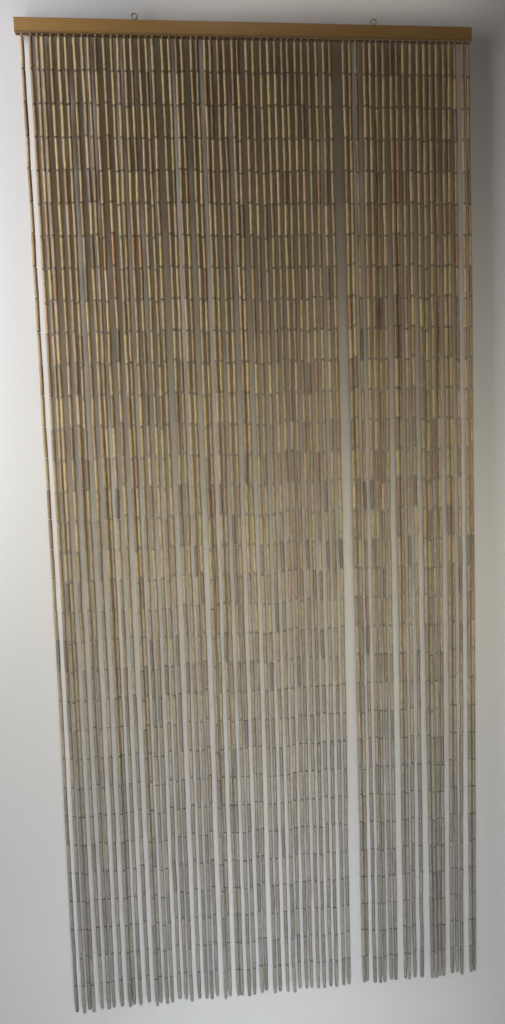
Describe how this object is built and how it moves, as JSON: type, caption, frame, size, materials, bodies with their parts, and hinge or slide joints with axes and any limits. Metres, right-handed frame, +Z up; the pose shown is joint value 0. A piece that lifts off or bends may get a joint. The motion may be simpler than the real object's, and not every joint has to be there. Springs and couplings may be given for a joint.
{
  "type": "bamboo bead door curtain with header bar",
  "caption": "Doorway curtain of bamboo tube strands hung from a slim wooden header bar with two screw eyes.",
  "frame": {"origin": "midway along the header bar, level with the inside top of the two screw eyes, where the hooks that carry the curtain bear", "axes": "+X along the bar to the right as seen from the front, -Y the front that faces the room, +Y the wall or doorway side, +Z up"},
  "size_m": [0.9, 0.014, 2.0428],
  "materials": {
    "header_wood": "clear-varnished honey wood, satin",
    "strand_bamboo": "bare bamboo tubes, satin skin, some browner, greener or greyer",
    "eye_metal": "dull plated wire"
  },
  "bodies": {
    "root": {"header_bar": "header_wood", "screw_eye_left": "eye_metal", "screw_eye_right": "eye_metal", "strand_group_1": "strand_bamboo", "strand_group_2": "strand_bamboo", "strand_group_3": "strand_bamboo", "strand_group_4": "strand_bamboo"}
  },
  "joints": []
}
